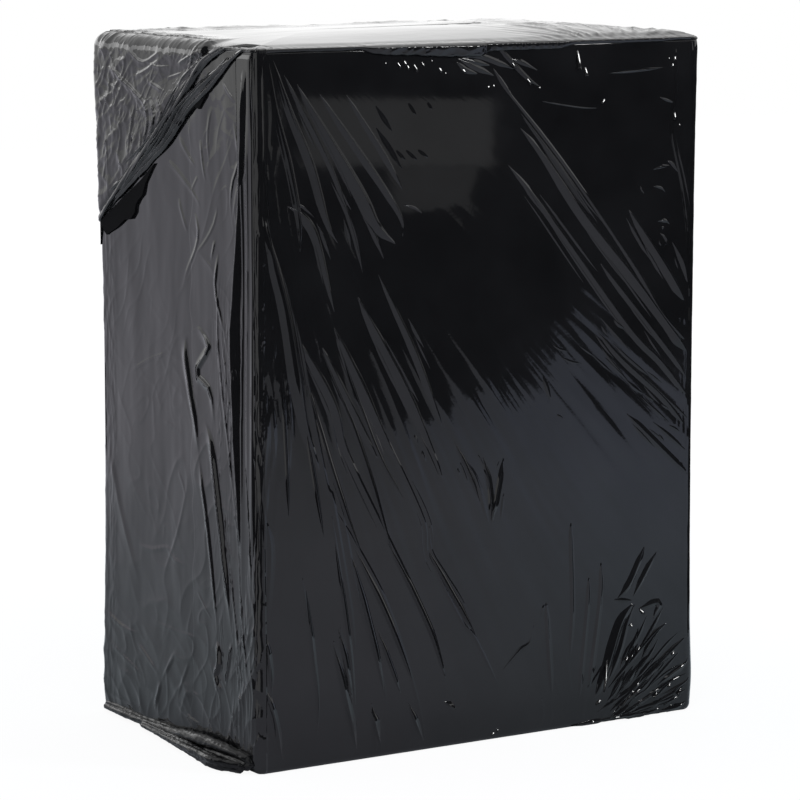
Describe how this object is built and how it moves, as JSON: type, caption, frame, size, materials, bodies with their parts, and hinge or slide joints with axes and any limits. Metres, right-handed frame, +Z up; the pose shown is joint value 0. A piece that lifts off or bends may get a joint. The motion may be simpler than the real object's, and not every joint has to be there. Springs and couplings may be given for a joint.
{
  "type": "film wrapped load",
  "caption": "Tall load sealed by hand in black stretch film, with fanned pleats, a slanting rolled hem and a bunched foot; stands flat on its base.",
  "frame": {"origin": "middle of the footprint, on the surface that the pack stands on", "axes": "+Z up, front face with the long pleats towards -Y, face with the slanting rolled hem towards -X"},
  "size_m": [0.6275, 0.3794, 0.8106],
  "materials": {
    "stretch_film": "glossy black polyethylene film, several layers, stretched over flat faces and crinkled at its margins"
  },
  "bodies": {
    "root": {"wrapped_pack": "stretch_film"}
  },
  "joints": []
}
